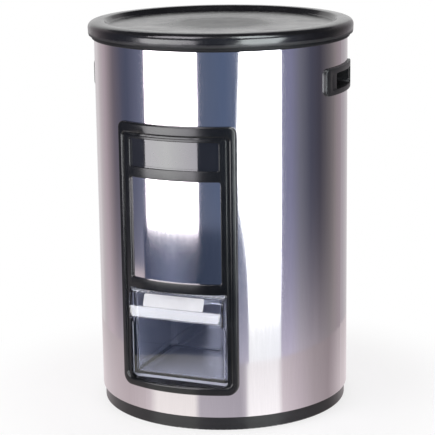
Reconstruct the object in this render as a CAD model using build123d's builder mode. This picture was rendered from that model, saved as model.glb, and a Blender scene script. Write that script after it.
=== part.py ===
from build123d import *
import os
from math import asin, cos, degrees, radians, sin, sqrt, tan

# Round steel rice bin: a sheet shell on a moulded base with a lift-off lid, two cup handles,
# and a framed front whose clear drawer fills from a hopper inside.
# Millimetres. +Z is up, the front faces -Y, and the origin is the centre of the underside.

# Clearances
seat_gap = 0.1  # between curved faces that lie on each other
fit_gap = 0.3  # around a piece that sits in another
slide_gap = 0.4  # between the drawer and what guides it
screw_gap = 0.1  # between a screw's shank and its hole

# Shell
shell_radius = 150.0
shell_height = 428.0
sheet = 0.6
shell_bend = 1.6  # outer radius where the bottom flange turns inward

# Base
base_height = 16.0
base_inset = 2.8  # from the shell's face in to the ring's face
base_wall = 3.0
base_ledge = 16.0  # width of the ring's top, which carries the shell's flange
base_floor_lift = 5.0
base_floor = 2.5
base_edge_round = 1.5
base_rib = 2.0
base_rib_lift = 1.5
base_rib_count = 8
base_hub_radius = 24.0

# Collar on the shell's upper edge
collar_lip = 3.0  # how far it stands proud of the shell
collar_crown = 1.4  # height above the shell's edge
collar_cover = 3.2  # how far its outer lip reaches down over the shell
collar_round = 2.1  # on the lower outer edge
collar_wall = 2.5
collar_spigot = 14.0  # depth of its inner wall below the shell's edge

# Lid and its seal
lid_overhang = 4.0  # beyond the collar's lip
lid_height = 15.8
lid_draft = 0.5  # how far the skirt draws in below the widest point
lid_waist = 7.8  # height of the widest point above the skirt's edge
lid_crest_inset = 17.0  # from the widest point in to the crest of the rim
lid_dish_inset = 25.0  # from the widest point in to the flat of the dish
lid_dish = 5.6
lid_wall = 2.5
lid_skirt = 1.8
lid_centre_radius = 54.0
lid_centre_drop = 0.6
lid_centre_slope = 8.0  # width of the soft step round the centre
lid_plug_depth = 10.0
lid_plug_wall = 2.2
lid_plug_gap = 0.6
seal_height = 6.2
seal_width = 4.2

# Front frame, its bars and windows from the bottom up
bezel_lift = 28.0  # above the base
bottom_rail = 9.2
drawer_window_height = 110.8
low_bar = 12.0
plate_height = 119.0
high_bar = 12.5
gloss_height = 32.5
frame_top = 3.4  # of the inner frame above the upper window
frame_side = 6.8  # of the inner frame beside the plate
gloss_step = 1.3  # how much narrower the upper window is on each side
drawer_window_width = 122.0
drawer_reveal = 3.8  # of the web beside the drawer's window
bezel_top_corner = 7.0
bezel_bottom_corner = 12.0
drawer_window_corner = 7.0
window_corner = 2.0
bezel_web = 2.3  # height of the groove's floor above the shell
rail_proud = 4.5
rail_side = 7.5
rail_crown = 12.0  # height of the outer rail along the top
rail_corner = 4.0  # inner corners of the outer rail
rail_round = 2.1
groove = 2.2  # between the outer rail and the inner frame
frame_proud = 3.6
frame_round = 0.8
lip_reach = 16.0  # depth of the lip that lines the drawer's window, from the shell's face
lip_wall = 2.0

# Pieces in the upper windows
insert_thickness = 1.6
insert_border = 1.6
insert_border_rise = 0.7
plate_sheet = 0.6

# Drawer
drawer_side_gap = 2.5  # to the sides of its window
drawer_top_gap = 2.0  # to the top of its window
drawer_setback = 12.0  # of its front behind the shell's face
drawer_length = 112.0
drawer_wall = 2.2
drawer_side_drop = 4.0  # side walls below the top of the front
drawer_back_drop = 24.6  # back wall below the top of the front
drawer_corner = 8.0
drawer_floor_round = 3.0
drawer_front_round = 1.6
drawer_travel = 100.0
pull_wall = 2.4
pull_drop = 3.0  # of the pull's top below the top of the front
pull_ledge = 3.0  # clear depth under the pull's top
pull_knee_depth = 11.5
pull_lip_reach = 2.0  # of the lip beyond the knee
pull_face = 16.0  # height of the sloping face above the knee
pull_band = 11.5  # height of the band below the knee
pull_cheek = 11.0  # height of the cheeks below the lip
pull_knee_round = 5.0
pull_lip_round = 1.1
pull_corner = 6.0  # of the pull's ends, seen from above

# Shutter behind the drawer
shutter_thickness = 2.2
shutter_cover = 2.0  # how far it still passes the throat with the drawer right out
shutter_side_gap = 2.0
shutter_boss = 8.0
shutter_boss_height = 20.0
shutter_boss_spacing = 80.0

# Drawer housing
housing_wall = 2.0
housing_end_room = 4.0  # behind the shutter
runner_width = 5.0
runner_height = 4.3
runner_inset = 6.0  # from the drawer's side in to the runner
guide_height = 9.0
guide_setback = 20.0  # of the side guides behind the drawer's front
leg_room = 1.0  # from the feet to the base's ledge
leg_inset = 8.0  # of the legs from the sleeve's rear end, if the base's floor reaches that far
foot_width = 14.0
foot_length = 16.0
foot_thickness = 3.0

# Hopper and its stand
throat_radius = 36.0
throat_wall = 2.2
throat_back_room = 1.6  # from the drawer's back wall forward to the throat
hopper_slope = 36.5  # of the rear wall, steeper than rice lies
hopper_wall = 3.0
hopper_rim = 2.2
stand_wall = 2.2
stand_side_room = 5.7  # beside the front frame
stand_hoop = 34.0  # height of the hoop that closes the front under the rim

# Cup handles
handle_drop = 48.0  # centre below the shell's upper edge
handle_turn = 3.5  # degrees from the middle of each side towards the back
handle_width = 103.0
handle_height = 32.0
handle_proud = 3.4
handle_corner = 7.0
handle_round = 1.4
field_width = 81.0
field_height = 19.0
field_depth = 1.7
field_corner = 4.0
pocket_width = 54.0
pocket_depth = 26.0
pocket_wall = 2.0
pocket_corner = 4.0
retainer_thickness = 2.0
retainer_margin = 5.0

# Screws
small_shank = 2.9
small_head = 5.6
small_head_height = 1.8
bezel_screw_length = 4.0
handle_screw_length = 5.4
shutter_screw_length = 14.0
large_shank = 3.5
large_head = 6.6
large_head_height = 2.2
base_screw_length = 9.0
housing_screw_length = 5.0
base_screw_count = 6
screw_head_round = 0.7
countersink_angle = 82.0

# Levels and radii that follow
shell_inside = shell_radius - sheet
shell_bottom = base_height
shell_top = shell_bottom + shell_height
base_radius = shell_radius - base_inset
ledge_inside = base_radius - base_ledge
floor_top = base_floor_lift + base_floor
collar_top = shell_top + collar_crown
collar_bottom = shell_top - collar_cover
collar_inside = shell_inside - fit_gap - collar_wall
collar_radius = shell_radius + collar_lip
lid_radius = collar_radius + lid_overhang
lid_bottom = collar_top + fit_gap
lid_top = lid_bottom + lid_height
dish_level = lid_top - lid_dish
plug_radius = collar_inside - lid_plug_gap
channel_top = lid_bottom + seal_height
bezel_bottom = base_height + bezel_lift
drawer_window_bottom = bezel_bottom + bottom_rail
drawer_window_top = drawer_window_bottom + drawer_window_height
plate_bottom = drawer_window_top + low_bar
plate_top = plate_bottom + plate_height
gloss_bottom = plate_top + high_bar
gloss_top = gloss_bottom + gloss_height
frame_level = gloss_top + frame_top
bezel_top = frame_level + groove + rail_crown
bezel_width = drawer_window_width + 2 * (rail_side + drawer_reveal)
frame_width = bezel_width - 2 * (rail_side + groove)
plate_width = frame_width - 2 * frame_side
gloss_width = plate_width - 2 * gloss_step
bezel_seat = shell_radius + seat_gap
drawer_width = drawer_window_width - 2 * drawer_side_gap
drawer_bottom = drawer_window_bottom + runner_height + slide_gap
drawer_top = drawer_window_top - drawer_top_gap
drawer_side_top = drawer_top - drawer_side_drop
drawer_front = shell_radius - drawer_setback
drawer_back = drawer_front - drawer_length
drawer_floor = drawer_bottom + drawer_wall
pull_top = drawer_front + pull_wall + pull_ledge
pull_knee = drawer_front + pull_knee_depth
pull_lip = pull_knee + pull_lip_reach
pull_level = drawer_top - pull_drop
knee_level = pull_level - pull_face
lip_level = knee_level - pull_band
cheek_level = lip_level - pull_cheek
shutter_bottom = drawer_top - drawer_back_drop
throat_bottom = shutter_bottom + shutter_thickness + slide_gap
throat_outside = throat_radius + throat_wall
throat_front = drawer_back + drawer_wall + throat_back_room + throat_outside
shutter_end = drawer_travel + shutter_cover + throat_outside - throat_front
housing_end = shutter_end + housing_end_room + housing_wall
housing_bottom = drawer_window_bottom - housing_wall
housing_top = drawer_window_top + housing_wall
housing_width = drawer_window_width + 2 * housing_wall
leg_front = sqrt((ledge_inside - leg_room) ** 2 - (housing_width / 2 + foot_width) ** 2)
leg_back = min(housing_end - leg_inset, leg_front)
throat_top = housing_top + fit_gap
stand_radius = shell_inside - fit_gap
stand_bottom = shell_bottom + sheet
cone_radius = stand_radius - stand_wall - fit_gap
rim_level = throat_top + (cone_radius + throat_front - throat_outside) * tan(radians(hopper_slope))
handle_level = shell_top - handle_drop
cup_width = pocket_width + 2 * pocket_wall
cup_height = field_height + 2 * pocket_wall


# Shared forms


def front_panel(width, bottom, top, bottom_corner, top_corner):
    """An upright panel on the XZ plane, with its own corner radius at each end."""
    with BuildSketch(Plane.XZ) as panel:
        with Locations((0, (bottom + top) / 2)):
            Rectangle(width, top - bottom)
        fillet(panel.vertices().group_by(Axis.Y)[0], bottom_corner)
        fillet(panel.vertices().group_by(Axis.Y)[-1], top_corner)
    return panel.sketch


def side_panel(width, height, corner):
    """An upright panel that faces the right handle's way, at the height of the handles."""
    with BuildSketch(Plane.YZ.rotated((0, 0, handle_turn))) as panel:
        with Locations((0, handle_level)):
            RectangleRounded(width, height, corner)
    return panel.sketch


def curved_layer(inner_radius, outer_radius, outline, edge_round=0):
    """The stretch of a tube about the bin's axis that lies behind a flat outline."""
    with BuildPart() as layer:
        with BuildSketch():
            Circle(outer_radius)
            Circle(inner_radius, mode=Mode.SUBTRACT)
        extrude(amount=shell_top)
        extrude(outline, amount=outer_radius, mode=Mode.INTERSECT)
        if edge_round:
            facing = Axis((0, 0, 0), outline.faces()[0].normal_at())
            skin = layer.faces().filter_by(GeomType.CYLINDER).sort_by(facing)[-1]
            fillet(skin.edges(), edge_round)
    return layer.part


def pan_screw(head_diameter, head_height, shank_diameter, shank_length):
    """A screw whose head stands on the XY plane and whose shank points down."""
    with BuildPart() as screw:
        with BuildSketch():
            Circle(head_diameter / 2)
        extrude(amount=head_height)
        fillet(screw.edges().sort_by(Axis.Z)[-1], screw_head_round)
        with BuildSketch():
            Circle(shank_diameter / 2)
        extrude(amount=-shank_length)
    return screw.part


def wall_plane(angle, radius, level):
    """A plane that faces the bin's axis; the angle counts from the front towards +X."""
    outward = Vector(sin(radians(angle)), -cos(radians(angle)), 0)
    return Plane(origin=outward * radius + Vector(0, 0, level), z_dir=-outward)


# Places of the screws
bezel_screw_angle = degrees(asin((bezel_width - rail_side) / 2 / shell_radius))
bezel_screw_levels = (
    (drawer_window_bottom + drawer_window_top) / 2,
    (plate_bottom + plate_top) / 2,
    (gloss_bottom + gloss_top) / 2,
)
bezel_screw_planes = [
    wall_plane(side * bezel_screw_angle, shell_inside - seat_gap, level)
    for side in (-1, 1)
    for level in bezel_screw_levels
]
retainer_inside = shell_inside - seat_gap - retainer_thickness
handle_screw_angle = degrees(asin((handle_width + field_width) / 4 / shell_radius))
handle_screw_planes = [
    wall_plane(side * (90 + handle_turn) + turn * handle_screw_angle, retainer_inside - seat_gap, handle_level)
    for side in (-1, 1)
    for turn in (-1, 1)
]
base_screw_radius = (ledge_inside + base_radius) / 2
foot_reach = (housing_width + foot_width) / 2
foot_places = [
    (side * foot_reach, place)
    for side in (-1, 1)
    for place in (foot_length / 2 - leg_front, leg_back - foot_length / 2)
]
shutter_screw_places = [
    (side * shutter_boss_spacing / 2, shutter_boss / 2 - drawer_back) for side in (-1, 1)
]
small_hole = small_shank / 2 + screw_gap
large_hole = large_shank / 2 + screw_gap

# Outlines on the front
drawer_window = front_panel(
    drawer_window_width, drawer_window_bottom, drawer_window_top, drawer_window_corner, window_corner
)
plate_window = front_panel(plate_width, plate_bottom, plate_top, window_corner, window_corner)
gloss_window = front_panel(gloss_width, gloss_bottom, gloss_top, window_corner, window_corner)
bezel_outline = front_panel(bezel_width, bezel_bottom, bezel_top, bezel_bottom_corner, bezel_top_corner)
rail_opening = front_panel(
    bezel_width - 2 * rail_side,
    drawer_window_bottom,
    bezel_top - rail_crown,
    drawer_window_corner,
    rail_corner,
)
frame_outline = front_panel(
    frame_width, drawer_window_top, frame_level, window_corner, window_corner
)
upper_windows = plate_window + gloss_window
sleeve_outline = front_panel(housing_width, housing_bottom, housing_top, housing_wall, housing_wall)
sleeve_bore = front_panel(
    drawer_window_width, drawer_window_bottom, drawer_window_top, window_corner, window_corner
)
shell_window = offset(sleeve_outline, amount=fit_gap)

# Outlines on the sides
handle_outline = side_panel(handle_width, handle_height, handle_corner)
handle_field = side_panel(field_width, field_height, field_corner)
pocket_mouth = side_panel(pocket_width, field_height, pocket_corner)
cup_outline = side_panel(cup_width, cup_height, pocket_corner + pocket_wall)
cup_window = side_panel(cup_width + 2 * fit_gap, cup_height + 2 * fit_gap, pocket_corner + pocket_wall)
retainer_outline = side_panel(handle_width, cup_height + 2 * retainer_margin, handle_corner)
with BuildPart() as cup_passages:
    extrude(cup_window, amount=shell_radius)
    mirror(about=Plane.YZ)


# Base: an inverted channel round a ribbed floor
with BuildPart() as base_tray:
    with BuildSketch(Plane.XZ) as base_section:
        with BuildLine():
            Polyline(
                (0, base_floor_lift),
                (ledge_inside + base_wall, base_floor_lift),
                (ledge_inside + base_wall, base_height - base_wall),
                (base_radius - base_wall, base_height - base_wall),
                (base_radius - base_wall, 0),
                (base_radius, 0),
                (base_radius, base_height),
                (ledge_inside, base_height),
                (ledge_inside, floor_top),
                (0, floor_top),
                close=True,
            )
        make_face()
        fillet(base_section.vertices().sort_by_distance((base_radius, 0))[0], base_edge_round)
    revolve(axis=Axis.Z)
    with BuildSketch(Plane.XY.offset(base_rib_lift)):
        Circle(base_hub_radius)
        Circle(base_hub_radius - base_rib, mode=Mode.SUBTRACT)
        with PolarLocations((base_hub_radius + ledge_inside) / 2, base_rib_count):
            Rectangle(ledge_inside - base_hub_radius + base_rib, base_rib)
    extrude(amount=base_floor_lift - base_rib_lift)
    with BuildSketch(Plane.XY.offset(base_rib_lift)):
        with Locations(*foot_places):
            Circle(large_head / 2 + fit_gap)
    extrude(amount=base_floor_lift - base_rib_lift, mode=Mode.SUBTRACT)
    with BuildSketch(Plane.XY.offset(base_height)):
        with PolarLocations(base_screw_radius, base_screw_count):
            Circle(large_hole)
    extrude(amount=-base_wall, mode=Mode.SUBTRACT)
    with BuildSketch(Plane.XY.offset(floor_top)):
        with Locations(*foot_places):
            Circle(large_hole)
    extrude(amount=-base_floor, mode=Mode.SUBTRACT)

# Shell: a tube with its lower edge turned inward, cut for the drawer, the handles and the screws
with BuildPart() as shell:
    with BuildSketch(Plane.XZ) as shell_section:
        with BuildLine():
            Polyline(
                (ledge_inside, shell_bottom),
                (shell_radius, shell_bottom),
                (shell_radius, shell_top),
                (shell_inside, shell_top),
                (shell_inside, shell_bottom + sheet),
                (ledge_inside, shell_bottom + sheet),
                close=True,
            )
        make_face()
        fillet(shell_section.vertices().sort_by_distance((shell_radius, shell_bottom))[0], shell_bend)
        fillet(
            shell_section.vertices().sort_by_distance((shell_inside, shell_bottom + sheet))[0],
            shell_bend - sheet,
        )
    revolve(axis=Axis.Z)
    extrude(shell_window, amount=shell_radius, mode=Mode.SUBTRACT)
    add(cup_passages.part, mode=Mode.SUBTRACT)
    with Locations(*bezel_screw_planes, *handle_screw_planes):
        Cylinder(small_hole, 2 * handle_screw_length, mode=Mode.SUBTRACT)
    with BuildSketch(Plane.XY.offset(shell_bottom)):
        with PolarLocations(base_screw_radius, base_screw_count):
            Circle(large_hole)
    extrude(amount=sheet, mode=Mode.SUBTRACT)

# Base screws: up through the ledge into the shell's flange
base_screw = pan_screw(large_head, large_head_height, large_shank, base_screw_length)
with BuildPart() as base_screws:
    with Locations(Plane.XY.offset(base_height - base_wall)):
        with PolarLocations(base_screw_radius, base_screw_count):
            add(base_screw, rotation=(180, 0, 0))

# Collar: a channel over the shell's edge, with a deeper wall inside
with BuildPart() as top_collar:
    with BuildSketch(Plane.XZ) as collar_section:
        with BuildLine():
            Polyline(
                (collar_inside, shell_top - collar_spigot),
                (shell_inside - fit_gap, shell_top - collar_spigot),
                (shell_inside - fit_gap, shell_top + fit_gap),
                (shell_radius + fit_gap, shell_top + fit_gap),
                (shell_radius + fit_gap, collar_bottom),
                (collar_radius, collar_bottom),
                (collar_radius, collar_top),
                (collar_inside, collar_top),
                close=True,
            )
        make_face()
        fillet(collar_section.vertices().sort_by_distance((collar_radius, collar_bottom))[0], collar_round)
    revolve(axis=Axis.Z)

# Hopper stand: a hoop on the shell's flange, open in front for the drawer housing
with BuildPart() as hopper_stand:
    with BuildSketch(Plane.XY.offset(stand_bottom)):
        Circle(stand_radius)
        Circle(stand_radius - stand_wall, mode=Mode.SUBTRACT)
    extrude(amount=rim_level - stand_bottom)
    with BuildSketch(Plane.XZ):
        with Locations((0, (stand_bottom + rim_level - stand_hoop) / 2)):
            Rectangle(bezel_width + 2 * stand_side_room, rim_level - stand_hoop - stand_bottom)
    extrude(amount=shell_radius, mode=Mode.SUBTRACT)
    with Locations(*bezel_screw_planes):
        Cylinder(small_head / 2 + fit_gap, 2 * (stand_wall + fit_gap), mode=Mode.SUBTRACT)
    outer_foot = hopper_stand.edges().group_by(Axis.Z)[0].sort_by(SortBy.LENGTH)[-1]
    chamfer(outer_foot, shell_bend - sheet)

# Hopper: an off-centre cone with a rim on the stand and a round throat over the drawer
with BuildPart() as hopper:
    with BuildSketch(Plane.XY.offset(throat_top)):
        with Locations((0, -throat_front)):
            Circle(throat_outside)
    with BuildSketch(Plane.XY.offset(rim_level)):
        Circle(cone_radius)
    loft(ruled=True)
    with BuildSketch(Plane.XY.offset(rim_level)):
        Circle(stand_radius)
    extrude(amount=hopper_rim)
    with BuildSketch(Plane.XY.offset(throat_bottom)):
        with Locations((0, -throat_front)):
            Circle(throat_outside)
    extrude(amount=throat_top - throat_bottom)
    with BuildSketch(Plane.XY.offset(throat_top)):
        with Locations((0, -throat_front)):
            Circle(throat_radius)
    with BuildSketch(Plane.XY.offset(rim_level + hopper_rim)):
        Circle(cone_radius - hopper_wall)
    loft(ruled=True, mode=Mode.SUBTRACT)
    with BuildSketch(Plane.XY.offset(throat_bottom)):
        with Locations((0, -throat_front)):
            Circle(throat_radius)
    extrude(amount=throat_top - throat_bottom, mode=Mode.SUBTRACT)

# Drawer housing: a sleeve that meets the front frame's lip, on two legs with screwed feet
with BuildPart() as drawer_housing:
    extrude(sleeve_outline, amount=shell_radius - lip_reach - fit_gap)
    extrude(sleeve_outline, amount=-housing_end)
    extrude(sleeve_bore, amount=shell_radius, mode=Mode.SUBTRACT)
    extrude(sleeve_bore, amount=housing_wall - housing_end, mode=Mode.SUBTRACT)
    with BuildSketch(Plane.XY.offset(drawer_window_bottom)):
        with Locations((0, (leg_back - leg_front) / 2)):
            with GridLocations(drawer_width - 2 * runner_inset, 0, 2, 1):
                Rectangle(runner_width, leg_front + leg_back)
    extrude(amount=runner_height)
    with BuildSketch(Plane.XY.offset(drawer_window_bottom)):
        with Locations((0, (housing_end - drawer_front + guide_setback) / 2)):
            with GridLocations(drawer_width + drawer_side_gap + slide_gap, 0, 2, 1):
                Rectangle(drawer_side_gap - slide_gap, drawer_front - guide_setback + housing_end)
    extrude(amount=runner_height + guide_height)
    with BuildSketch(Plane.XY.offset(floor_top)):
        with Locations((0, (leg_back - leg_front) / 2)):
            with GridLocations(housing_width - housing_wall, 0, 2, 1):
                Rectangle(housing_wall, leg_front + leg_back)
    extrude(amount=drawer_window_bottom - floor_top)
    with BuildSketch(Plane.XY.offset(floor_top)):
        with Locations(*foot_places):
            Rectangle(foot_width, foot_length)
        with Locations(*foot_places):
            Circle(large_hole, mode=Mode.SUBTRACT)
    extrude(amount=foot_thickness)
    with BuildSketch(Plane.XY.offset(drawer_window_top)):
        with Locations((0, -throat_front)):
            Circle(throat_outside + fit_gap)
    extrude(amount=housing_wall, mode=Mode.SUBTRACT)

# Housing screws: up through the floor of the base into the feet
housing_screw = pan_screw(large_head, large_head_height, large_shank, housing_screw_length)
with BuildPart() as housing_screws:
    with Locations(*[(*place, base_floor_lift) for place in foot_places]):
        add(housing_screw, rotation=(180, 0, 0))

# Front frame: a web with a raised outer rail and, past a groove, an inner frame with two bars,
# and a lip behind the web that lines the drawer's window
web_layer = curved_layer(
    bezel_seat, shell_radius + bezel_web, bezel_outline - drawer_window - upper_windows
)
rail_layer = curved_layer(
    bezel_seat, shell_radius + rail_proud, bezel_outline - rail_opening, rail_round
)
frame_layer = curved_layer(
    bezel_seat, shell_radius + frame_proud, frame_outline - upper_windows, frame_round
)
lip_ring = offset(drawer_window, amount=lip_wall) - drawer_window
with BuildPart() as window_lip:
    with BuildSketch():
        Circle(bezel_seat + seat_gap)
    extrude(amount=shell_top)
    extrude(lip_ring, amount=2 * shell_radius, mode=Mode.INTERSECT)
    extrude(lip_ring, amount=shell_radius - lip_reach, mode=Mode.SUBTRACT)
with BuildPart() as bezel:
    add(web_layer)
    add(window_lip.part)
    add(rail_layer)
    add(frame_layer)
    with Locations(*bezel_screw_planes):
        Cylinder(
            small_hole,
            bezel_screw_length + screw_gap,
            align=(Align.CENTER, Align.CENTER, Align.MAX),
            mode=Mode.SUBTRACT,
        )

# Frame screws: out through the shell into the outer rail
bezel_screw = pan_screw(small_head, small_head_height, small_shank, bezel_screw_length)
with BuildPart() as bezel_screws:
    with Locations(*bezel_screw_planes):
        add(bezel_screw)

# Glossy panel of the upper window, with a raised border
insert_outline = offset(gloss_window, amount=-seat_gap)
insert_middle = offset(gloss_window, amount=-seat_gap - insert_border)
insert_base = curved_layer(bezel_seat, bezel_seat + insert_thickness, insert_outline)
insert_edge = curved_layer(
    bezel_seat, bezel_seat + insert_thickness + insert_border_rise, insert_outline - insert_middle
)
with BuildPart() as gloss_insert:
    add(insert_base)
    add(insert_edge)

# Steel plate of the middle window
plate_outline = offset(plate_window, amount=-seat_gap)
with BuildPart() as front_plate:
    add(curved_layer(bezel_seat, bezel_seat + plate_sheet, plate_outline))

# Cup handle on the right: a curved flange with a sunk field and a deep pocket
flange_layer = curved_layer(bezel_seat, shell_radius + handle_proud, handle_outline, handle_round)
with BuildPart() as cup_body:
    with BuildSketch(Plane.XY.offset(handle_level)):
        Circle(bezel_seat + seat_gap)
    extrude(amount=cup_height, both=True)
    extrude(cup_outline, amount=shell_radius + handle_proud, mode=Mode.INTERSECT)
    with Locations((0, 0, handle_level)):
        Box(
            2 * (shell_radius - pocket_depth - pocket_wall),
            cup_width,
            cup_height,
            rotation=(0, 0, handle_turn),
            mode=Mode.SUBTRACT,
        )
with BuildPart() as pocket_space:
    extrude(pocket_mouth, amount=shell_radius + 2 * handle_proud)
    with Locations((0, 0, handle_level)):
        Box(
            2 * (shell_radius - pocket_depth),
            pocket_width,
            field_height,
            rotation=(0, 0, handle_turn),
            mode=Mode.SUBTRACT,
        )
field_space = curved_layer(
    shell_radius + handle_proud - field_depth, shell_radius + 2 * handle_proud, handle_field
)
with BuildPart() as right_handle_cup:
    add(flange_layer)
    add(cup_body.part)
    add(pocket_space.part, mode=Mode.SUBTRACT)
    add(field_space, mode=Mode.SUBTRACT)
    with Locations(*handle_screw_planes):
        Cylinder(
            small_hole,
            handle_screw_length + screw_gap,
            align=(Align.CENTER, Align.CENTER, Align.MAX),
            mode=Mode.SUBTRACT,
        )
with BuildPart() as left_handle_cup:
    add(mirror(right_handle_cup.part, about=Plane.YZ, mode=Mode.PRIVATE))

# Backing plates of the handles, inside the shell
with BuildPart() as right_handle_retainer:
    add(curved_layer(retainer_inside, shell_inside - seat_gap, retainer_outline - cup_window))
    with Locations(*handle_screw_planes):
        Cylinder(small_hole, 2 * handle_screw_length, mode=Mode.SUBTRACT)
with BuildPart() as left_handle_retainer:
    add(mirror(right_handle_retainer.part, about=Plane.YZ, mode=Mode.PRIVATE))

# Handle screws: out through the backing plates and the shell into the flanges
handle_screw = pan_screw(small_head, small_head_height, small_shank, handle_screw_length)
with BuildPart() as handle_screws:
    with Locations(*handle_screw_planes):
        add(handle_screw)

# Lid: a dished top, a rounded rim, a skirt and a plug ring that centres it in the collar
lid_foot = lid_radius - lid_draft
dish_edge = (lid_radius - lid_dish_inset, dish_level)
crest = (lid_radius - lid_crest_inset, lid_top)
waist = (lid_radius, lid_bottom + lid_waist)
centre_level = dish_level - lid_centre_drop
centre_edge = (lid_centre_radius - lid_centre_slope, centre_level)
with BuildPart() as lid:
    with BuildSketch(Plane.XZ):
        with BuildLine():
            Line((0, centre_level), centre_edge)
            Spline(centre_edge, (lid_centre_radius, dish_level), tangents=((1, 0), (1, 0)))
            Line((lid_centre_radius, dish_level), dish_edge)
            Spline(dish_edge, crest, tangents=((1, 0), (1, 0)))
            Spline(crest, waist, tangents=((1, 0), (0, -1)))
            Polyline(
                waist,
                (lid_foot, lid_bottom),
                (lid_foot - lid_skirt, lid_bottom),
                (lid_foot - lid_skirt, channel_top),
                (plug_radius, channel_top),
                (plug_radius, lid_bottom - lid_plug_depth),
                (plug_radius - lid_plug_wall, lid_bottom - lid_plug_depth),
                (plug_radius - lid_plug_wall, lid_top - lid_wall),
                (crest[0], lid_top - lid_wall),
                (dish_edge[0], centre_level - lid_wall),
                (0, centre_level - lid_wall),
                (0, centre_level),
            )
        make_face()
    revolve(axis=Axis.Z)

# Lid seal: a ring in the channel under the rim, over the collar
seal_radius = (collar_inside + collar_radius) / 2
with BuildPart() as lid_seal:
    with BuildSketch(Plane.XY.offset(lid_bottom)):
        Circle(seal_radius + seal_width / 2)
        Circle(seal_radius - seal_width / 2, mode=Mode.SUBTRACT)
    extrude(amount=seal_height)
    fillet(lid_seal.edges().group_by(Axis.Z)[0], seal_width / 4)

# Pull of the drawer: a hollow awning with rounded ends and cheeks
with BuildPart() as awning:
    with BuildSketch(Plane.YZ) as awning_section:
        with BuildLine():
            Polyline(
                (drawer_wall - drawer_front, pull_level),
                (-pull_top, pull_level),
                (-pull_knee, knee_level),
                (-pull_lip, lip_level),
                (-drawer_front, cheek_level),
                (drawer_wall - drawer_front, cheek_level),
                close=True,
            )
        make_face()
        fillet(awning_section.vertices().sort_by_distance((-pull_knee, knee_level))[0], pull_knee_round)
        fillet(awning_section.vertices().sort_by_distance((-pull_lip, lip_level))[0], pull_lip_round)
    extrude(amount=drawer_width / 2, both=True)
    with BuildSketch(Plane.XY.offset(cheek_level)) as awning_plan:
        with Locations((0, -pull_lip / 2)):
            Rectangle(drawer_width, pull_lip)
        fillet(awning_plan.vertices().group_by(Axis.Y)[0], pull_corner)
    extrude(amount=pull_level - cheek_level, mode=Mode.INTERSECT)
with BuildPart() as awning_space:
    with BuildSketch(Plane.YZ) as space_section:
        with BuildLine():
            Polyline(
                (-drawer_front, pull_level - pull_wall),
                (pull_wall - pull_top, pull_level - pull_wall),
                (pull_wall - pull_knee, knee_level),
                (pull_wall - pull_lip, lip_level),
                (pull_wall - pull_lip, cheek_level),
                (-drawer_front, cheek_level),
                close=True,
            )
        make_face()
        inner_knee = (pull_wall - pull_knee, knee_level)
        fillet(space_section.vertices().sort_by_distance(inner_knee)[0], pull_knee_round)
    extrude(amount=drawer_width / 2 - pull_wall, both=True)
    with BuildSketch(Plane.XY.offset(cheek_level)) as space_plan:
        with Locations((0, (pull_wall - pull_lip) / 2)):
            Rectangle(drawer_width - 2 * pull_wall, pull_lip - pull_wall)
        fillet(space_plan.vertices().group_by(Axis.Y)[0], pull_corner - pull_wall)
    extrude(amount=pull_level - cheek_level, mode=Mode.INTERSECT)

# Drawer: a clear tub with a low back, a taller front and the pull on it
tub_middle = -(drawer_front + drawer_back) / 2
with BuildPart() as drawer:
    with BuildSketch(Plane.XY.offset(drawer_bottom)) as tub_outline:
        with Locations((0, tub_middle)):
            Rectangle(drawer_width, drawer_length)
        fillet(tub_outline.vertices().group_by(Axis.Y)[-1], drawer_corner)
        fillet(tub_outline.vertices().group_by(Axis.Y)[0], drawer_front_round)
    extrude(amount=drawer_top - drawer_bottom)
    with BuildSketch(Plane.XY.offset(drawer_floor)):
        with Locations((0, tub_middle)):
            RectangleRounded(
                drawer_width - 2 * drawer_wall,
                drawer_length - 2 * drawer_wall,
                drawer_corner - drawer_wall,
            )
    extrude(amount=drawer_top - drawer_floor, mode=Mode.SUBTRACT)
    floor_edges = drawer.edges().filter_by_position(
        Axis.Z, drawer_floor - seat_gap, drawer_floor + seat_gap
    )
    fillet(floor_edges, drawer_floor_round)
    with BuildSketch(Plane.XY.offset(drawer_side_top)):
        with Locations((0, tub_middle + drawer_wall)):
            Rectangle(drawer_width, drawer_length)
    extrude(amount=drawer_top - drawer_side_top, mode=Mode.SUBTRACT)
    with BuildSketch(Plane.XY.offset(shutter_bottom)):
        with Locations((0, -drawer_back - drawer_wall / 2)):
            Rectangle(drawer_width, drawer_wall)
    extrude(amount=drawer_side_top - shutter_bottom, mode=Mode.SUBTRACT)
    add(awning.part)
    add(awning_space.part, mode=Mode.SUBTRACT)
    with BuildSketch(Plane.XY.offset(shutter_bottom)):
        with Locations(*shutter_screw_places):
            Rectangle(shutter_boss, shutter_boss)
            Circle(small_hole, mode=Mode.SUBTRACT)
    extrude(amount=-shutter_boss_height)

# Shutter: a plate on the drawer's back wall that slides under the throat
with BuildPart() as shutter_plate:
    with BuildSketch(Plane.XY.offset(shutter_bottom)):
        with Locations((0, (shutter_end - drawer_back - drawer_wall) / 2)):
            Rectangle(drawer_width - 2 * shutter_side_gap, shutter_end + drawer_back + drawer_wall)
    extrude(amount=shutter_thickness)
    with Locations(*[(*place, shutter_bottom + shutter_thickness) for place in shutter_screw_places]):
        CounterSinkHole(small_hole, small_head / 2 + screw_gap, shutter_thickness, countersink_angle)

# Shutter screws: countersunk, down into the bosses behind the drawer
with BuildPart() as shutter_screws:
    with Locations(*[(*place, shutter_bottom + shutter_thickness) for place in shutter_screw_places]):
        Cylinder(small_shank / 2, shutter_screw_length, align=(Align.CENTER, Align.CENTER, Align.MAX))
        Cone(
            small_shank / 2,
            small_head / 2,
            (small_head - small_shank) / 2 / tan(radians(countersink_angle / 2)),
            align=(Align.CENTER, Align.CENTER, Align.MAX),
        )

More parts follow.
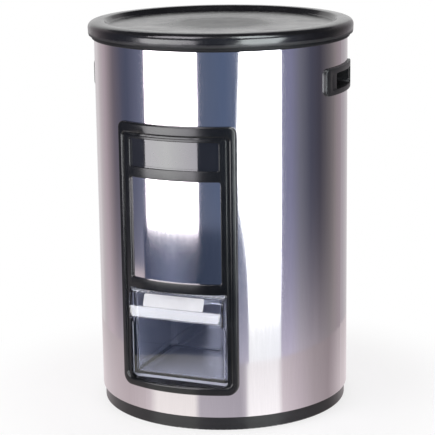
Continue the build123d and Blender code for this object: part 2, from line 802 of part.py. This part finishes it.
# One file for each piece
pieces = {
    "base_tray": base_tray,
    "base_screws": base_screws,
    "shell": shell,
    "top_collar": top_collar,
    "hopper_stand": hopper_stand,
    "hopper": hopper,
    "drawer_housing": drawer_housing,
    "housing_screws": housing_screws,
    "bezel": bezel,
    "bezel_screws": bezel_screws,
    "gloss_insert": gloss_insert,
    "front_plate": front_plate,
    "left_handle_cup": left_handle_cup,
    "right_handle_cup": right_handle_cup,
    "left_handle_retainer": left_handle_retainer,
    "right_handle_retainer": right_handle_retainer,
    "handle_screws": handle_screws,
    "lid": lid,
    "lid_seal": lid_seal,
    "drawer": drawer,
    "shutter_plate": shutter_plate,
    "shutter_screws": shutter_screws,
}
os.makedirs("parts", exist_ok=True)
for name, piece in pieces.items():
    piece.part.label = name
    export_step(piece.part, f"parts/{name}.step")
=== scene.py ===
from math import cos, pi, radians, sin

import bmesh
import bpy
from mathutils import Matrix, Vector


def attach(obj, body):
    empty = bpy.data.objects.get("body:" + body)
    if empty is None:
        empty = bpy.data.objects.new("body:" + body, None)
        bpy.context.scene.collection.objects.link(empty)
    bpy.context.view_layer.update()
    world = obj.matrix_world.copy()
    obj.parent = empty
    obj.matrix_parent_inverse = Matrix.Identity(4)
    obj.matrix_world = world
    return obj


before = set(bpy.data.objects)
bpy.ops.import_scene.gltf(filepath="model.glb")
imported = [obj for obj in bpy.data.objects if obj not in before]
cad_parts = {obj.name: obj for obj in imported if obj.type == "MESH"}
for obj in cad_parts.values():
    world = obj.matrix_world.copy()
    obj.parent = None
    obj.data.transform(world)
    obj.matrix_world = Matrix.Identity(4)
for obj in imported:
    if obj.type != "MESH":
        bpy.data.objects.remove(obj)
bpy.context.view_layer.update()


# Base tray: a black polypropylene ring with a ribbed floor, moulded in one piece.
# It is set in a little from the shell, whose inward flange is screwed down on its ledge.
mm = 0.001


def linear(hex_colour):
    """An sRGB hex colour as linear values, with full opacity."""
    channels = [int(hex_colour[i:i + 2], 16) / 255 for i in (1, 3, 5)]
    return [c / 12.92 if c <= 0.04045 else ((c + 0.055) / 1.055) ** 2.4 for c in channels] + [1]


def put(tree, kind, sockets=None, stops=(), **settings):
    """Adds a node with its settings. A socket takes a value or the output that feeds it, and a
    colour ramp takes its stops, each a place from 0 to 1 and a hex colour."""
    node = tree.nodes.new("ShaderNode" + kind)
    for name, value in settings.items():
        setattr(node, name, value)
    for name, value in (sockets or {}).items():
        if isinstance(value, bpy.types.NodeSocket):
            tree.links.new(value, node.inputs[name])
        else:
            node.inputs[name].default_value = value
    for number, (spot, colour) in enumerate(stops):
        if number == len(node.color_ramp.elements):
            node.color_ramp.elements.new(1.0)
        node.color_ramp.elements[number].position = spot
        node.color_ramp.elements[number].color = linear(colour)
    return node


def start_material(name):
    """A material with no shader yet, and the object's own coordinates in metres."""
    material = bpy.data.materials.new(name)
    material.use_nodes = True
    tree = material.node_tree
    tree.nodes.clear()
    place = put(tree, "TexCoord").outputs["Object"]
    return material, tree, place


def close_material(tree, sockets):
    """Ends a material with its shader, whose sockets take values or a pattern's outputs."""
    shader = put(tree, "BsdfPrincipled", sockets)
    put(tree, "OutputMaterial", {"Surface": shader.outputs["BSDF"]})


def moulded_plastic(
    name, colour, rub_colour, roughness, grain, grain_depth, ior=1.49, gloss=0.5, etching=None
):
    """Injection-moulded plastic. The mould's surface leaves a fine grain, drawn coarser than it
    is so that it shows, and handling leaves soft patches that are a little lighter and less
    shiny. Etching is a function that adds roughness in some places."""
    patch = 35 * mm
    colour_ends = (0.35, 0.75)  # of the patches' noise, where the colour starts and stops changing
    shine_ends = (0.3, 0.7)
    shine_change = 0.04
    material, tree, place = start_material(name)
    patches = put(
        tree, "TexNoise", {"Vector": place, "Scale": 1 / patch, "Detail": 4.0, "Roughness": 0.6}
    ).outputs["Fac"]
    colours = put(
        tree, "ValToRGB", {"Fac": patches}, stops=zip(colour_ends, (colour, rub_colour))
    )
    shine = put(
        tree,
        "MapRange",
        {
            "Value": patches,
            "From Min": shine_ends[0],
            "From Max": shine_ends[1],
            "To Min": roughness - shine_change,
            "To Max": roughness + shine_change,
        },
    ).outputs["Result"]
    if etching:
        shine = put(
            tree, "Math", {0: shine, 1: etching(tree, place)}, operation="ADD"
        ).outputs["Value"]
    grains = put(tree, "TexNoise", {"Vector": place, "Scale": 1 / grain, "Detail": 2.0})
    bump = put(
        tree, "Bump", {"Height": grains.outputs["Fac"], "Distance": grain_depth, "Strength": 1.0}
    )
    close_material(
        tree,
        {
            "Base Color": colours.outputs["Color"],
            "Roughness": shine,
            "Normal": bump.outputs["Normal"],
            "IOR": ior,
            "Specular IOR Level": gloss,
        },
    )
    return material


def finish_node(node, material):
    """Gives its material to a CAD node that is shown as it is."""
    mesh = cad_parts[node].data
    mesh.materials.clear()
    mesh.materials.append(material)


# Satin polypropylene: a deep black with a soft sheen that spreads over the whole ring.
base_plastic = moulded_plastic(
    "polypropylene_satin_moulded", "#161618", "#1e1e20", 0.32, 0.6 * mm, 0.006 * mm, gloss=0.4
)
finish_node("base_tray", base_plastic)

# Bright zinc plate: a cool metal shine, blurred by fine crystals. They are drawn coarser than
# they are, so that they show.
crystal = 0.8 * mm
zinc_roughness = (0.25, 0.45)
zinc_plate, tree, place = start_material("steel_bright_zinc_plated")
crystals = put(tree, "TexNoise", {"Vector": place, "Scale": 1 / crystal, "Detail": 3.0})
blur = put(
    tree,
    "MapRange",
    {
        "Value": crystals.outputs["Fac"],
        "To Min": zinc_roughness[0],
        "To Max": zinc_roughness[1],
    },
)
close_material(
    tree,
    {"Metallic": 1.0, "Base Color": linear("#b9bab6"), "Roughness": blur.outputs["Result"]},
)
finish_node("base_screws", zinc_plate)


# Shell: stainless sheet, bright polished and rolled to a tube, with its lower edge turned inward.
# It stands on the base's ledge, and is cut out for the drawer and the two handles.

# Bright polished stainless: polishing leaves faint upright lines, drawn wider than they are so
# that they show. Rolling leaves the sheet a little uneven, so that what it mirrors has soft,
# slightly wavy edges.
line_width = 0.7 * mm
line_stretch = 0.02  # the pattern is drawn out upwards by one over this
steel_roughness = (0.05, 0.11)
roll_wave = 60 * mm
roll_depth = 0.045 * mm
polished_steel, tree, place = start_material("stainless_sheet_bright_polished")
upright = put(tree, "Mapping", {"Vector": place, "Scale": (1.0, 1.0, line_stretch)})
lines = put(
    tree,
    "TexNoise",
    {"Vector": upright.outputs["Vector"], "Scale": 1 / line_width, "Detail": 2.0},
).outputs["Fac"]
haze = put(
    tree,
    "MapRange",
    {"Value": lines, "To Min": steel_roughness[0], "To Max": steel_roughness[1]},
)
tone = put(tree, "ValToRGB", {"Fac": lines}, stops=[(0.3, "#c9c3c6"), (0.7, "#cdc7ca")])
unevenness = put(tree, "TexNoise", {"Vector": place, "Scale": 1 / roll_wave, "Detail": 1.0})
waves = put(
    tree, "Bump", {"Height": unevenness.outputs["Fac"], "Distance": roll_depth, "Strength": 1.0}
)
close_material(
    tree,
    {
        "Metallic": 1.0,
        "Base Color": tone.outputs["Color"],
        "Roughness": haze.outputs["Result"],
        "Normal": waves.outputs["Normal"],
    },
)
finish_node("shell", polished_steel)


# Collar: a moulded polypropylene channel, pressed over the shell's upper edge.
# The lid's rim rests on it.

# Matt polypropylene: an etched mould, so that it stays dark in the gap under the lid.
collar_plastic = moulded_plastic(
    "polypropylene_matt_moulded", "#161618", "#1c1c1e", 0.5, 0.6 * mm, 0.01 * mm, gloss=0.15
)
finish_node("top_collar", collar_plastic)


# Handles: black polypropylene cups, each moulded in one piece with its flange.
# A cup passes through the shell, and a plate and screws hold it from inside.
handle_edge = 1 * mm


def soften_edges(node, width):
    """Rounds a moulded piece's sharp edges a little, as its mould does. The mesh is split along
    these edges, so its faces are joined first."""
    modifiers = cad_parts[node].modifiers
    joined = modifiers.new("joined_faces", "WELD")
    joined.merge_threshold = 0.01 * mm
    bevel = modifiers.new("moulded_edges", "BEVEL")
    bevel.harden_normals = True
    bevel.width = width
    bevel.segments = 3
    bevel.limit_method = "ANGLE"
    bevel.angle_limit = radians(40)


# Fine satin polypropylene: black, with grey light along its rounded edges.
handle_plastic = moulded_plastic(
    "polypropylene_fine_satin_moulded", "#1c1c1e", "#232325", 0.4, 0.6 * mm, 0.006 * mm, gloss=0.4
)
for side in ("left", "right"):
    finish_node(side + "_handle_cup", handle_plastic)
    soften_edges(side + "_handle_cup", handle_edge)
    finish_node(side + "_handle_retainer", base_plastic)
finish_node("handle_screws", zinc_plate)


# Hopper, its stand and the shutter: mouldings of plain polypropylene.
# The stand is a hoop on the shell's flange and carries the hopper by its rim. The shutter is
# screwed to the drawer, and closes the hopper's throat when the drawer is out.

# Natural polypropylene: undyed, so it is milky white and dull.
natural_plastic = moulded_plastic(
    "polypropylene_natural_moulded", "#dcdcd8", "#e4e4e0", 0.5, 0.5 * mm, 0.01 * mm
)
for node in ("hopper", "hopper_stand", "shutter_plate"):
    finish_node(node, natural_plastic)
finish_node("shutter_screws", zinc_plate)


# Drawer housing: a moulded polypropylene sleeve with the drawer's runners.
# Its feet are screwed to the base tray.

# Grey polypropylene: dull and even, it gives the clear drawer its grey inside.
housing_plastic = moulded_plastic(
    "polypropylene_grey_moulded", "#b2b2ba", "#bcbcc4", 0.5, 0.6 * mm, 0.012 * mm
)
finish_node("drawer_housing", housing_plastic)
finish_node("housing_screws", zinc_plate)


# Front frame: black ABS, moulded to the shell's curve with three windows, screwed on from inside.
# A gloss panel fills its upper window, and a plate of the shell's steel its middle one.
frame_edge = 0.7 * mm

# Semi-gloss ABS: nearly black, with thin sharp lights along its steps and edges.
frame_plastic = moulded_plastic(
    "abs_semi_gloss_moulded", "#0f0f11", "#151517", 0.2, 0.8 * mm, 0.001 * mm, gloss=0.4
)
finish_node("bezel", frame_plastic)
soften_edges("bezel", frame_edge)
finish_node("bezel_screws", zinc_plate)

# High-gloss polycarbonate: a polished mould, so that it mirrors the softbox as a grey field.
gloss_plastic = moulded_plastic(
    "polycarbonate_high_gloss_moulded", "#222228", "#26262c", 0.06, 3 * mm, 0.001 * mm, ior=1.585
)
finish_node("gloss_insert", gloss_plastic)
finish_node("front_plate", polished_steel)


# Drawer: a clear tub with a hollow awning for a pull, moulded in one piece.
# It slides in the housing's runners and carries the shutter.
drawer_edge = 0.8 * mm

# Clear styrene acrylonitrile: glassy and faintly blue. The melt's flow leaves faint waves in its
# walls, and use leaves them a little hazy in places.
flow_wave = 22 * mm
flow_depth = 0.03 * mm
clear_roughness = (0.02, 0.05)
clear_plastic, tree, place = start_material("san_clear_moulded")
flow = put(
    tree, "TexNoise", {"Vector": place, "Scale": 1 / flow_wave, "Detail": 2.0}
).outputs["Fac"]
haze = put(
    tree,
    "MapRange",
    {"Value": flow, "To Min": clear_roughness[0], "To Max": clear_roughness[1]},
)
ripple = put(tree, "Bump", {"Height": flow, "Distance": flow_depth, "Strength": 1.0})
close_material(
    tree,
    {
        "Base Color": linear("#e2e4ee"),
        "IOR": 1.57,
        "Transmission Weight": 1.0,
        "Roughness": haze.outputs["Result"],
        "Normal": ripple.outputs["Normal"],
    },
)
finish_node("drawer", clear_plastic)
soften_edges("drawer", drawer_edge)
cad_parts["drawer"].visible_shadow = False  # the lamps shine through it


# Film on the pull: a plain strip of white polyester with rounded corners, cut from a roll.
# It is stuck on the pull's sloping face, a little left of its middle.
film_width = 75 * mm
film_middle = -2.5 * mm
film_thickness = 0.1 * mm
film_lift = 0.12 * mm  # of its outer face from the slope
film_round = 2 * mm
film_margin = 0.06  # bare share of the slope above and below the film
corner_steps = 4
slope_top = Vector((film_middle, -143.4 * mm, 159 * mm))
slope_foot = Vector((film_middle, -149.5 * mm, 143 * mm))
down = (slope_foot - slope_top).normalized()
across = Vector((1, 0, 0))
outward = down.cross(across).normalized()
half_height = (slope_foot - slope_top).length * (0.5 - film_margin)
centre = (slope_top + slope_foot) / 2 + outward * film_lift
outline = bmesh.new()
ring = []
for corner_x, corner_z, start_turn in ((1, 1, 0), (-1, 1, 90), (-1, -1, 180), (1, -1, 270)):
    for step in range(corner_steps + 1):
        turn = radians(start_turn + 90 * step / corner_steps)
        sideways = corner_x * (film_width / 2 - film_round) + film_round * cos(turn)
        upwards = corner_z * (half_height - film_round) + film_round * sin(turn)
        ring.append(outline.verts.new(centre + across * sideways - down * upwards))
outline.faces.new(ring)
film_mesh = bpy.data.meshes.new("pull_film")
outline.to_mesh(film_mesh)
outline.free()
film = bpy.data.objects.new("pull_film", film_mesh)
bpy.context.scene.collection.objects.link(film)
film.modifiers.new("film_thickness", "SOLIDIFY").thickness = film_thickness

# Matt white polyester: an even, dull white next to the clear plastic. Its matt coat has a fine
# grain like a moulding's.
film_plastic = moulded_plastic(
    "polyester_film_matt_white", "#d2d2d8", "#e0e0e6", 0.45, 0.9 * mm, 0.01 * mm
)
film_mesh.materials.append(film_plastic)
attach(film, "drawer")


# Lid: a lift-off polypropylene moulding with a rounded rim and a dished top.
# A silicone ring is pressed into the channel under its rim.
lid_edge = 1.5 * mm


def lid_etching(tree, place):
    """The roughness that etching adds at the rim's lower edge and in the middle of the dish."""
    rim_heights = (446 * mm, 450 * mm)
    rim_roughness = 0.45
    dish_radii = (20 * mm, 95 * mm)
    dish_roughness = 0.16
    height = put(tree, "SeparateXYZ", {0: place}).outputs["Z"]
    rim = put(
        tree,
        "MapRange",
        {
            "Value": height,
            "From Min": rim_heights[0],
            "From Max": rim_heights[1],
            "To Min": rim_roughness,
            "To Max": 0.0,
        },
    )
    level = put(tree, "VectorMath", {0: place, 1: (1, 1, 0)}, operation="MULTIPLY")
    reach = put(tree, "VectorMath", {0: level.outputs["Vector"]}, operation="LENGTH")
    dish = put(
        tree,
        "MapRange",
        {
            "Value": reach.outputs["Value"],
            "From Min": dish_radii[0],
            "From Max": dish_radii[1],
            "To Min": dish_roughness,
            "To Max": 0.0,
        },
        interpolation_type="SMOOTHSTEP",
    )
    both = put(
        tree, "Math", {0: rim.outputs["Result"], 1: dish.outputs["Result"]}, operation="ADD"
    )
    return both.outputs["Value"]


# Satin polypropylene: black, with clear lights on the rim. The mould was etched matt where the
# rim turns under and in the dish, so that these places stay dull.
lid_plastic = moulded_plastic(
    "polypropylene_satin_and_etched_moulded",
    "#151416",
    "#1b1a1c",
    0.2,
    0.6 * mm,
    0.004 * mm,
    etching=lid_etching,
)
finish_node("lid", lid_plastic)
soften_edges("lid", lid_edge)

# Silicone: dark grey, soft and without shine.
seal_rubber = moulded_plastic(
    "silicone_matt_moulded", "#2c2c2c", "#333333", 0.7, 0.5 * mm, 0.01 * mm
)
finish_node("lid_seal", seal_rubber)


# Table: a small round table with a white laminate top, which the bin stands on.
# The camera sees the bin's shadow on it, and plain white further out.
table_radius = 400 * mm
table_gap = 0.2 * mm  # keeps the top's face apart from the base's
shadow_start = 200 * mm  # of the table's fading to white, from the bin's axis
shadow_end = 370 * mm
shadow_white = 0.75  # share of plain white next to the bin
mirror_start = 200 * mm
near_glow = 1.7  # of the table as the steel mirrors it, at mirror_start
far_glow = 1.45  # the same at the table's edge
half_shell = 75 * mm  # half the shell's radius
camera_turn = radians(22.4)  # the camera stands this far to the right of the bin's front
bpy.ops.mesh.primitive_circle_add(vertices=128, radius=table_radius, fill_type="NGON")
table = bpy.context.object
table.name = "table"
table.location.z = -table_gap


def round_stops(shades):
    """Colours by degrees right of the camera, as a ramp's stops that run once round the bin."""
    return [(turn / 360 + 0.5, colour) for turn, colour in shades]


# White laminate: pale and dull, and lit by the lamps. The steel mirrors painted light and shade on
# it:
# painted pools of light in line with the two softboxes, and painted shade between and beside them.
painted_table_light_and_shade = [
    (-150, "#bcb5b7"), (-103, "#b3abad"), (-82, "#bcb5b7"), (-75, "#c6c0c2"), (-66, "#eae9e6"),
    (-28, "#eae9e6"), (-23, "#adabb2"), (14, "#a4a2aa"), (18, "#b2b0b7"), (22, "#f8fafa"),
    (50, "#f8fafa"), (55, "#ccc6ca"), (70, "#bdb6bb"), (93, "#a19a9d"), (118, "#938b8e"),
    (150, "#bcb5b7"),
]
table_top, tree, place = start_material("white_laminate_table")
light_path = put(tree, "LightPath")
reach = put(tree, "VectorMath", {0: place}, operation="LENGTH").outputs["Value"]
laminate = put(tree, "BsdfPrincipled", {"Roughness": 0.6, "Base Color": linear("#f4eff1")})
white = put(tree, "Emission", {"Color": (1, 1, 1, 1), "Strength": 1.0})
fade = put(
    tree,
    "MapRange",
    {
        "Value": reach,
        "From Min": shadow_start,
        "From Max": shadow_end,
        "To Min": shadow_white,
        "To Max": 1.0,
    },
    interpolation_type="SMOOTHSTEP",
)
seen_white = put(
    tree,
    "Math",
    {0: light_path.outputs["Is Camera Ray"], 1: fade.outputs["Result"]},
    operation="MULTIPLY",
)
lit = put(
    tree,
    "MixShader",
    {
        "Fac": seen_white.outputs["Value"],
        1: laminate.outputs["BSDF"],
        2: white.outputs["Emission"],
    },
)
# Reflections see the table as a glow, brighter near the bin, with painted light and shade across
# it.
mirror_glow = put(
    tree,
    "MapRange",
    {
        "Value": reach,
        "From Min": mirror_start,
        "From Max": table_radius,
        "To Min": near_glow,
        "To Max": far_glow,
    },
)
from_camera = put(
    tree, "VectorRotate", {"Vector": place, "Angle": -camera_turn}, rotation_type="Z_AXIS"
)
spot = put(tree, "SeparateXYZ", {0: from_camera.outputs["Vector"]})
ahead = put(tree, "Math", {0: spot.outputs["Y"], 1: -1.0}, operation="MULTIPLY")
angle = put(
    tree, "Math", {0: spot.outputs["X"], 1: ahead.outputs["Value"]}, operation="ARCTAN2"
)
# Mirrored in the shell, the painted light parts run straight down, so their edges fan out on the
# table.
inner = put(tree, "Math", {0: half_shell, 1: reach}, operation="DIVIDE")
outer = put(tree, "Math", {0: 1.0, 1: inner.outputs["Value"]}, operation="SUBTRACT")
fanned = put(
    tree, "Math", {0: angle.outputs["Value"], 1: outer.outputs["Value"]}, operation="DIVIDE"
)
turn = put(
    tree, "MapRange", {"Value": fanned.outputs["Value"], "From Min": -pi, "From Max": pi}
)
shade = put(
    tree, "ValToRGB", {"Fac": turn.outputs["Result"]}, stops=round_stops(painted_table_light_and_shade)
)
mirrored = put(
    tree,
    "Emission",
    {"Color": shade.outputs["Color"], "Strength": mirror_glow.outputs["Result"]},
)
blend = put(
    tree,
    "MixShader",
    {
        "Fac": light_path.outputs["Is Glossy Ray"],
        1: lit.outputs["Shader"],
        2: mirrored.outputs["Emission"],
    },
)
put(tree, "OutputMaterial", {"Surface": blend.outputs["Shader"]})
table.data.materials.append(table_top)


# Studio: a wall of soft grey paper round the table, two tall softboxes that go on over the bin
# and a dark ceiling. The camera doesn't see these cards: they are what the steel mirrors.
# Their distances and heights are in millimetres, and their ends in degrees right of the camera.
wall_distance = 1400
wall_foot = -600
wall_top = 1300
paper_glow = 1.0


def show_in_reflections(card):
    """Hides a card from the camera, and keeps its light and its shadow off dull surfaces."""
    card.visible_camera = False
    card.visible_diffuse = False
    card.visible_shadow = False


def curved_card(name, rows, shades, glow, foot_glow=None, bounce=None):
    """A glowing card bent round the bin. Each row has its distance, its height and its two ends,
    and shades run across it. Towards its foot it may be dimmer, or carry painted light from the
    floor, shaded as bounce."""
    steps = 48
    foot_heights = (-260 * mm, -60 * mm)
    bounce_heights = (150 * mm, -450 * mm)
    bounce_fall = 3.0  # the power by which the floor's light falls off upwards
    bounce_glow = 1.5
    across = steps + 1
    spots = []
    turns = []
    for distance, height, left, right in rows:
        for step in range(across):
            turn = left + (right - left) * step / steps
            angle = camera_turn + radians(turn)
            spots.append(Vector((sin(angle) * distance, -cos(angle) * distance, height)) * mm)
            turns.append(turn / 360 + 0.5)
    faces = [
        (row * across + i, row * across + i + 1, (row + 1) * across + i + 1, (row + 1) * across + i)
        for row in range(len(rows) - 1)
        for i in range(steps)
    ]
    mesh = bpy.data.meshes.new(name)
    mesh.from_pydata(spots, [], faces)
    marks = mesh.uv_layers.new(name="turns")
    for loop in mesh.loops:
        marks.data[loop.index].uv = (turns[loop.vertex_index], 0.5)
    card = bpy.data.objects.new(name, mesh)
    bpy.context.scene.collection.objects.link(card)
    surface, tree, place = start_material(name + "_surface")
    height = put(tree, "SeparateXYZ", {0: place}).outputs["Z"]
    mark = put(tree, "TexCoord").outputs["UV"]
    turn = put(tree, "SeparateXYZ", {0: mark}).outputs["X"]
    colour = put(tree, "ValToRGB", {"Fac": turn}, stops=round_stops(shades))
    level = put(
        tree,
        "MapRange",
        {
            "Value": height,
            "From Min": foot_heights[0],
            "From Max": foot_heights[1],
            "To Min": glow if foot_glow is None else foot_glow,
            "To Max": glow,
        },
        interpolation_type="SMOOTHSTEP",
    )
    light = put(
        tree,
        "Emission",
        {"Color": colour.outputs["Color"], "Strength": level.outputs["Result"]},
    ).outputs["Emission"]
    # Painted light from the floor, strongest at the card's foot.
    if bounce:
        lift = put(
            tree,
            "MapRange",
            {"Value": height, "From Min": bounce_heights[0], "From Max": bounce_heights[1]},
        )
        fall = put(
            tree, "Math", {0: lift.outputs["Result"], 1: bounce_fall}, operation="POWER"
        )
        amount = put(
            tree, "Math", {0: fall.outputs["Value"], 1: bounce_glow}, operation="MULTIPLY"
        )
        floor_colour = put(tree, "ValToRGB", {"Fac": turn}, stops=round_stops(bounce))
        floor_light = put(
            tree,
            "Emission",
            {"Color": floor_colour.outputs["Color"], "Strength": amount.outputs["Value"]},
        )
        both = put(tree, "AddShader", {0: light, 1: floor_light.outputs["Emission"]})
        light = both.outputs["Shader"]
    put(tree, "OutputMaterial", {"Surface": light})
    mesh.materials.append(surface)
    show_in_reflections(card)


# The paper is darker to the sides and in front, and has painted light from the floor at its foot.
wall_ends = (-150, 162)
wall_shades = [
    (-148, "#ece8ea"), (-140, "#dbd5d7"), (-126, "#c8bcc3"), (-117, "#a59ca2"), (-110, "#837d87"),
    (-98, "#66697c"), (-90, "#5d657c"), (-82, "#6d748c"), (-72, "#7d86a0"), (-66, "#b8b2bc"),
    (-18, "#6b7a94"), (2, "#66799a"), (12, "#72829f"), (50, "#9599b8"), (61, "#9599b8"),
    (71, "#818594"), (83, "#5b5e6f"), (95, "#52525e"), (110, "#7f7c7f"), (119, "#a09a9b"),
    (130, "#b4aab0"), (144, "#cbc7cb"), (160, "#dcd8da"),
]
painted_floor_light_shades = [
    (-140, "#000000"), (-120, "#b0a9ab"), (-100, "#d0c8ca"), (60, "#d6ced0"), (90, "#cac2c4"),
    (108, "#989294"), (125, "#525051"), (150, "#000000"),
]
curved_card(
    "paper_wall",
    [(wall_distance, wall_foot, *wall_ends), (wall_distance, wall_top, *wall_ends)],
    wall_shades,
    paper_glow,
    bounce=painted_floor_light_shades,
)

# Behind the bin the paper is lower and lighter.
back_ends = (160, 212)
back_top = 470
curved_card(
    "back_paper",
    [(wall_distance, wall_foot, *back_ends), (wall_distance, back_top, *back_ends)],
    [(160, "#dedadc"), (180, "#e6e2e4")],
    paper_glow,
)

# The left softbox stands on a dark foot, with a pale strip beside it. Both softboxes have an arch
# that goes on over the bin.
softbox_distance = 1380
arch_height = wall_top - 10
arch_end = 380
left_ends = (-69, -20.7)
left_foot = -58
left_top = 580
left_glow = 9.0
foot_ends = (-73, 14)
edge_ends = (-90, -73)
edge_top = -150
curved_card(
    "left_softbox",
    [(softbox_distance, left_foot, *left_ends), (softbox_distance, left_top, *left_ends)],
    [(-69, "#f2eff4"), (-48, "#ffffff"), (-20, "#e4e0e8")],
    left_glow,
)
curved_card(
    "left_arch",
    [(softbox_distance, arch_height, *left_ends), (arch_end, arch_height, *left_ends)],
    [(-69, "#f2eff4"), (-20, "#f2eff4")],
    left_glow,
)
curved_card(
    "left_softbox_foot",
    [(softbox_distance, wall_foot, *foot_ends), (softbox_distance, left_foot, *foot_ends)],
    [(-73, "#4a5570"), (-45, "#7c89a9"), (-21, "#3c4a62"), (5, "#4e5b73"), (14, "#6c7790")],
    paper_glow,
)
curved_card(
    "left_table_edge",
    [(softbox_distance, wall_foot, *edge_ends), (softbox_distance, edge_top, *edge_ends)],
    [(-90, "#efe6ea"), (-73, "#efe6ea")],
    paper_glow,
)

# The right softbox is brighter, and gets narrower and dimmer towards its foot.
right_ends = (15.5, 52)
right_waist_ends = (15.5, 51)
right_foot_ends = (21, 50.5)
right_top = 700
right_waist = 0
right_foot = -130
right_glow = 12.0
right_foot_glow = 1.55
right_shades = [(15, "#f8ffff"), (52, "#f4fcff")]
curved_card(
    "right_softbox",
    [
        (softbox_distance, wall_foot, *right_foot_ends),
        (softbox_distance, right_foot, *right_foot_ends),
        (softbox_distance, right_waist, *right_waist_ends),
        (softbox_distance, right_top, *right_ends),
    ],
    right_shades,
    right_glow,
    foot_glow=right_foot_glow,
)
curved_card(
    "right_arch",
    [(softbox_distance, arch_height, *right_ends), (arch_end, arch_height, *right_ends)],
    right_shades,
    right_glow,
)

# A ceiling in dark paint closes the studio at the top.
bpy.ops.mesh.primitive_circle_add(
    vertices=64, radius=wall_distance * mm, fill_type="NGON", location=(0, 0, wall_top * mm)
)
ceiling = bpy.context.object
ceiling.name = "ceiling"
dark_paint, tree, place = start_material("ceiling_dark_paint")
paint_glow = put(tree, "Emission", {"Color": linear("#4c4e56"), "Strength": 1.0})
put(tree, "OutputMaterial", {"Surface": paint_glow.outputs["Emission"]})
ceiling.data.materials.append(dark_paint)
show_in_reflections(ceiling)


# Light: white surroundings and three large soft lamps, at a plain level.
# The camera, reflections and clear plastic see the surroundings as white.
soft_level = 0.42  # of the surroundings' light on dull surfaces
aim_height = 230 * mm
world = bpy.data.worlds.new("white_surroundings")
bpy.context.scene.world = world
world.use_nodes = True
tree = world.node_tree
tree.nodes.clear()
light_path = put(tree, "LightPath")
looked_at = light_path.outputs["Is Camera Ray"]
for other_ray in ("Is Glossy Ray", "Is Transmission Ray"):
    looked_at = put(
        tree, "Math", {0: looked_at, 1: light_path.outputs[other_ray]}, operation="MAXIMUM"
    ).outputs["Value"]
level = put(tree, "MapRange", {"Value": looked_at, "To Min": soft_level, "To Max": 1.0})
white = put(
    tree, "Background", {"Color": (1, 1, 1, 1), "Strength": level.outputs["Result"]}
)
put(tree, "OutputWorld", {"Surface": white.outputs["Background"]})
lamps = [
    # name, degrees right of the camera, height, distance and width in millimetres, watts
    ("left_lamp", -56, 900, 1500, 900, 13),
    ("right_lamp", 40, 900, 1500, 900, 3),
    ("top_lamp", 170, 1700, 500, 1000, 7),
]
for name, turn, height, distance, width, watts in lamps:
    light = bpy.data.lights.new(name, "AREA")
    light.size = width * mm
    light.energy = watts
    lamp = bpy.data.objects.new(name, light)
    angle = camera_turn + radians(turn)
    lamp.location = Vector((sin(angle) * distance, -cos(angle) * distance, height)) * mm
    aim = Vector((0, 0, aim_height)) - lamp.location
    lamp.rotation_euler = aim.to_track_quat("-Z", "Y").to_euler()
    lamp.visible_glossy = False
    bpy.context.scene.collection.objects.link(lamp)


# Camera: a long lens a little above the bin, to the right of its front.
# Its place and its tilts, which are in radians, are worked out from the photograph's outlines.
camera_distance = 2029.7 * mm
camera_height = 695.5 * mm
camera_dip = 0.2305
camera_yaw = -0.00328
camera_roll = 0.01323
camera_lens = 142.1  # millimetres, as Blender counts it
view = bpy.data.cameras.new("camera")
view.lens = camera_lens
camera = bpy.data.objects.new("camera", view)
bpy.context.scene.collection.objects.link(camera)
camera.matrix_world = (
    Matrix.Rotation(camera_turn, 4, "Z")
    @ Matrix.Translation((0, -camera_distance, camera_height))
    @ Matrix.Rotation(-camera_yaw, 4, "Z")
    @ Matrix.Rotation(pi / 2 - camera_dip, 4, "X")
    @ Matrix.Rotation(-camera_roll, 4, "Z")
)
bpy.context.scene.camera = camera
bpy.context.scene.view_settings.view_transform = "Standard"
